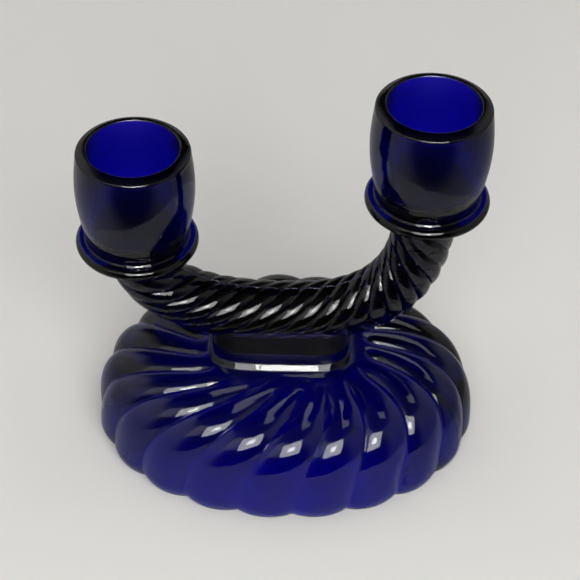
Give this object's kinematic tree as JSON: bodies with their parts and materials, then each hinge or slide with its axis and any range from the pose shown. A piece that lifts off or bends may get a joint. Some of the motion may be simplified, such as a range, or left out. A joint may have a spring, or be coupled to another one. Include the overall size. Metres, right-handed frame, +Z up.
{
  "type": "glass candlestick",
  "caption": "Twin candlestick in deep blue pressed glass: swirl-ribbed oval foot, rope-twist arm on a plinth, and barrel cups with drip rings at uneven heights.",
  "frame": {"origin": "centre of the foot's oval, in the plane of the table it stands on", "axes": "+Z up; +X along the arm towards the taller cup; +Y to the back of the foot"},
  "size_m": [0.1093, 0.0796, 0.1129],
  "materials": {
    "cobalt_glass": "clear deep cobalt blue glass, fire-polished"
  },
  "bodies": {
    "root": {"foot": "cobalt_glass", "plinth": "cobalt_glass", "arm": "cobalt_glass", "left_drip_ring": "cobalt_glass", "right_drip_ring": "cobalt_glass", "left_candle_cup": "cobalt_glass", "right_candle_cup": "cobalt_glass"}
  },
  "joints": []
}
